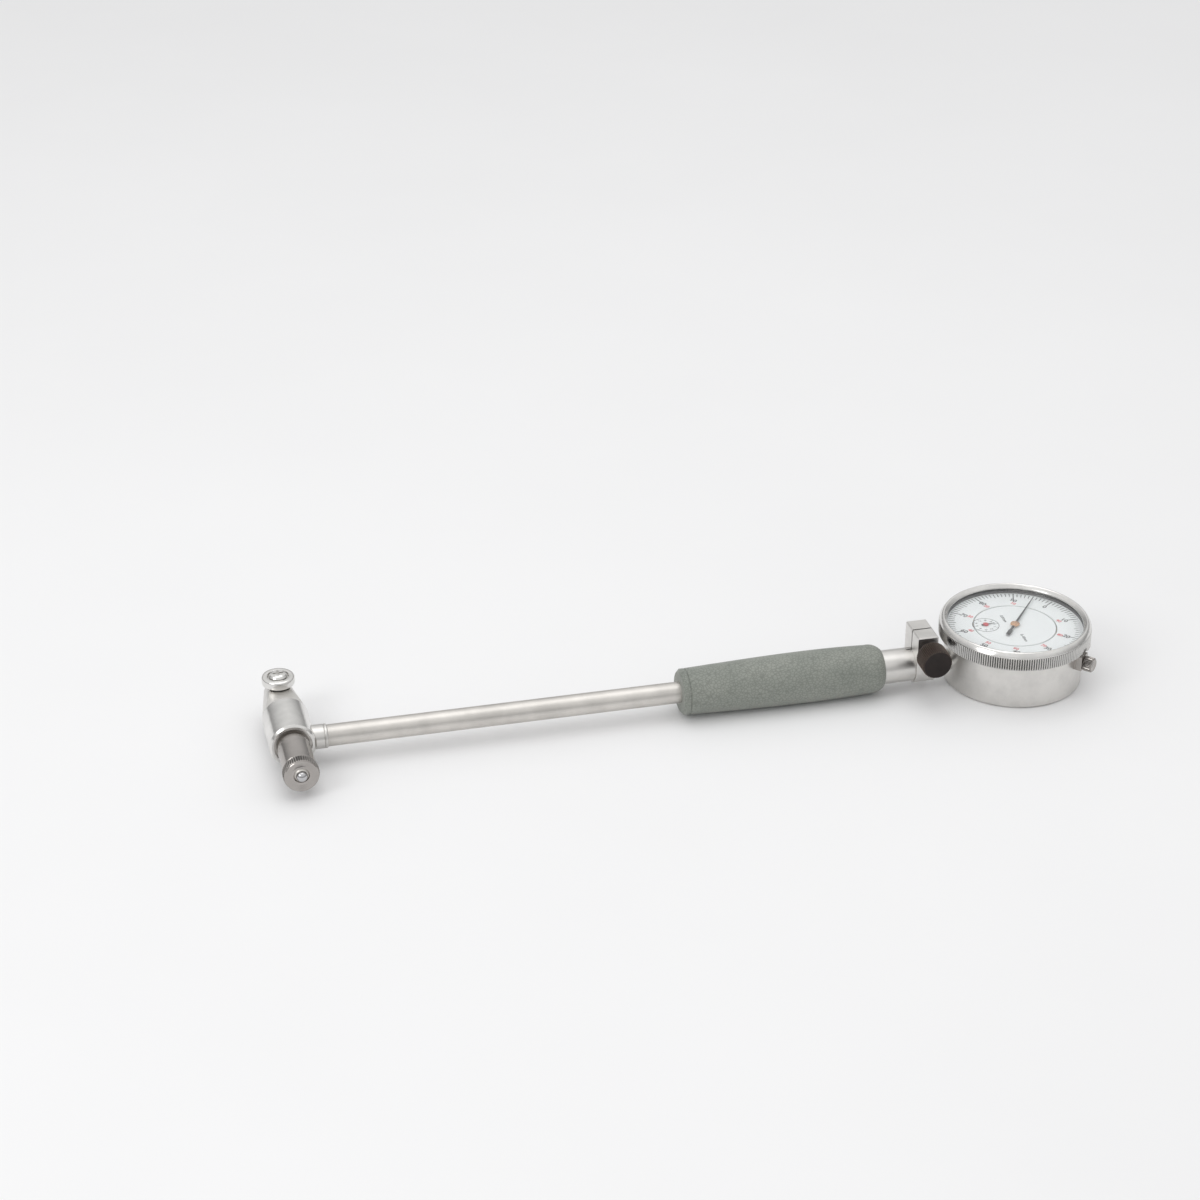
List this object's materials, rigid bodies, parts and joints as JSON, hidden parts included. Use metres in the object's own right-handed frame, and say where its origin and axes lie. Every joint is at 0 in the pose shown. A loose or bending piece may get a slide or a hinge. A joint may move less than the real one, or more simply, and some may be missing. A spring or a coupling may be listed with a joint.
{
  "type": "dial bore gauge",
  "caption": "Bore gauge lying flat: a two-roller measuring head with a sprung contact and an anvil, a long tube with a hand grip, and a round dial indicator clamped in its end.",
  "frame": {"origin": "centre of the indicator's flat back cover, on the plane that the gauge lies on", "axes": "+X from the measuring head along the tube to the indicator, +Y the side that the moving contact and the rollers face, +Z out of the dial"},
  "size_m": [0.3126, 0.0674, 0.0245],
  "materials": {
    "satin_chrome": "satin",
    "bright_chrome": "polished",
    "dark_chrome": "polished",
    "ground_steel": "ground",
    "hard_metal": "polished",
    "spring_steel": "bright",
    "grip_cover": "fine leather grain",
    "knob_black": "satin",
    "brass": "satin",
    "dial_white": "matt",
    "black_paint": "satin",
    "crystal_clear": "polished"
  },
  "bodies": {
    "gauge": {"anvil": "ground_steel", "anvil_ball": "hard_metal", "back_cover": "satin_chrome", "case": "satin_chrome", "centre_bridge": "brass", "clamp_block": "satin_chrome", "contact_spring": "spring_steel", "cover_screw_1": "ground_steel", "cover_screw_2": "ground_steel", "cover_screw_3": "ground_steel", "cover_screw_4": "ground_steel", "crank_pin": "ground_steel", "dial_disc": "dial_white", "end_cap": "satin_chrome", "grip": "grip_cover", "guide_bar": "ground_steel", "hairspring": "spring_steel", "head_core": "ground_steel", "head_shell": "bright_chrome", "lock_shoe": "dark_chrome", "lower_plate": "brass", "nose_cone": "satin_chrome", "pillar_1": "brass", "pillar_2": "brass", "pillar_3": "brass", "return_spring": "spring_steel", "rod_bush_grip": "brass", "rod_bush_head": "brass", "roller_screw_bottom": "dark_chrome", "roller_screw_top": "dark_chrome", "socket_tube": "satin_chrome", "stem": "bright_chrome", "tube": "ground_steel", "tube_collar": "satin_chrome", "upper_plate": "brass"},
    "contact": {"contact_plunger": "ground_steel", "contact_ball": "hard_metal"},
    "bell_crank": {"bell_crank": "ground_steel"},
    "push_rod": {"push_rod": "ground_steel"},
    "spindle": {"spindle": "ground_steel", "guide_pin": "ground_steel", "contact_point": "ground_steel"},
    "counter_train": {"counter_arbor": "ground_steel", "counter_wheel": "brass", "small_pointer": "black_paint"},
    "main_pointer": {"centre_arbor": "ground_steel", "pointer": "black_paint"},
    "takeup_train": {"takeup_arbor": "ground_steel", "takeup_wheel": "brass"},
    "bezel": {"bezel": "bright_chrome", "crystal": "crystal_clear", "crystal_ring": "black_paint", "dial_ring": "dial_white"},
    "roller_top": {"roller_top": "bright_chrome"},
    "roller_bottom": {"roller_bottom": "bright_chrome"},
    "clamp_knob": {"clamp_knob": "knob_black", "clamp_screw": "ground_steel"},
    "anvil_nut": {"anvil_nut": "dark_chrome"},
    "lock_screw": {"lock_screw": "dark_chrome"}
  },
  "joints": [
    {"name": "rod_slide", "type": "slide", "parent": "gauge", "child": "push_rod", "axis": [1, 0, 0], "range_m": [0, 0.0016], "stiffness_N_per_m": 500, "springref_m": -0.0005},
    {"name": "contact_slide", "type": "slide", "parent": "gauge", "child": "contact", "axis": [0, -1, 0], "range_m": [0, 0.0016], "deforming": ["contact_spring"]},
    {"name": "crank_swing", "type": "hinge", "parent": "gauge", "child": "bell_crank", "pos_m": [-0.2693, 0.0045, 0.0098], "axis": [0, 0, 1], "range_deg": [0, 20.48]},
    {"name": "spindle_slide", "type": "slide", "parent": "gauge", "child": "spindle", "axis": [1, 0, 0], "range_m": [0, 0.0016], "deforming": ["return_spring"]},
    {"name": "counter_turn", "type": "hinge", "parent": "gauge", "child": "counter_train", "pos_m": [-0.01051, 0.00305, 0.0098], "axis": [0, 0, 1], "range_deg": [0, 57.61]},
    {"name": "pointer_turn", "type": "hinge", "parent": "gauge", "child": "main_pointer", "pos_m": [0, 0, 0.0098], "axis": [0, 0, 1], "range_deg": [-576.06, 0]},
    {"name": "takeup_turn", "type": "hinge", "parent": "gauge", "child": "takeup_train", "pos_m": [0.01051, 0.00305, 0.0098], "axis": [0, 0, 1], "range_deg": [0, 57.61], "deforming": ["hairspring"]},
    {"name": "bezel_turn", "type": "hinge", "parent": "gauge", "child": "bezel", "pos_m": [0, 0, 0.0098], "axis": [0, 0, 1], "continuous": true},
    {"name": "roller_top_spin", "type": "hinge", "parent": "gauge", "child": "roller_top", "pos_m": [-0.2738, 0.0315, 0.0098], "axis": [0, 0, 1], "continuous": true},
    {"name": "roller_bottom_spin", "type": "hinge", "parent": "gauge", "child": "roller_bottom", "pos_m": [-0.2738, 0.0315, 0.0098], "axis": [0, 0, 1], "continuous": true},
    {"name": "knob_turn", "type": "hinge", "parent": "gauge", "child": "clamp_knob", "pos_m": [-0.0369, 0, 0.0187], "axis": [0, 1, 0], "range_deg": [0, 180]},
    {"name": "anvil_nut_turn", "type": "hinge", "parent": "gauge", "child": "anvil_nut", "pos_m": [-0.2738, 0, 0.0098], "axis": [0, 1, 0], "continuous": true},
    {"name": "lock_turn", "type": "hinge", "parent": "gauge", "child": "lock_screw", "pos_m": [0, 0, 0.014], "axis": [0.682, -0.7314, 0], "range_deg": [-90, 90]}
  ],
  "couplings": [
    {"joint": "contact_slide", "follows": "rod_slide", "ratio": 1},
    {"joint": "crank_swing", "follows": "rod_slide", "rad_per_m": 223.41},
    {"joint": "spindle_slide", "follows": "rod_slide", "ratio": 1},
    {"joint": "counter_turn", "follows": "rod_slide", "rad_per_m": 628.32},
    {"joint": "pointer_turn", "follows": "rod_slide", "rad_per_m": -6283.2},
    {"joint": "takeup_turn", "follows": "rod_slide", "rad_per_m": 628.32}
  ]
}
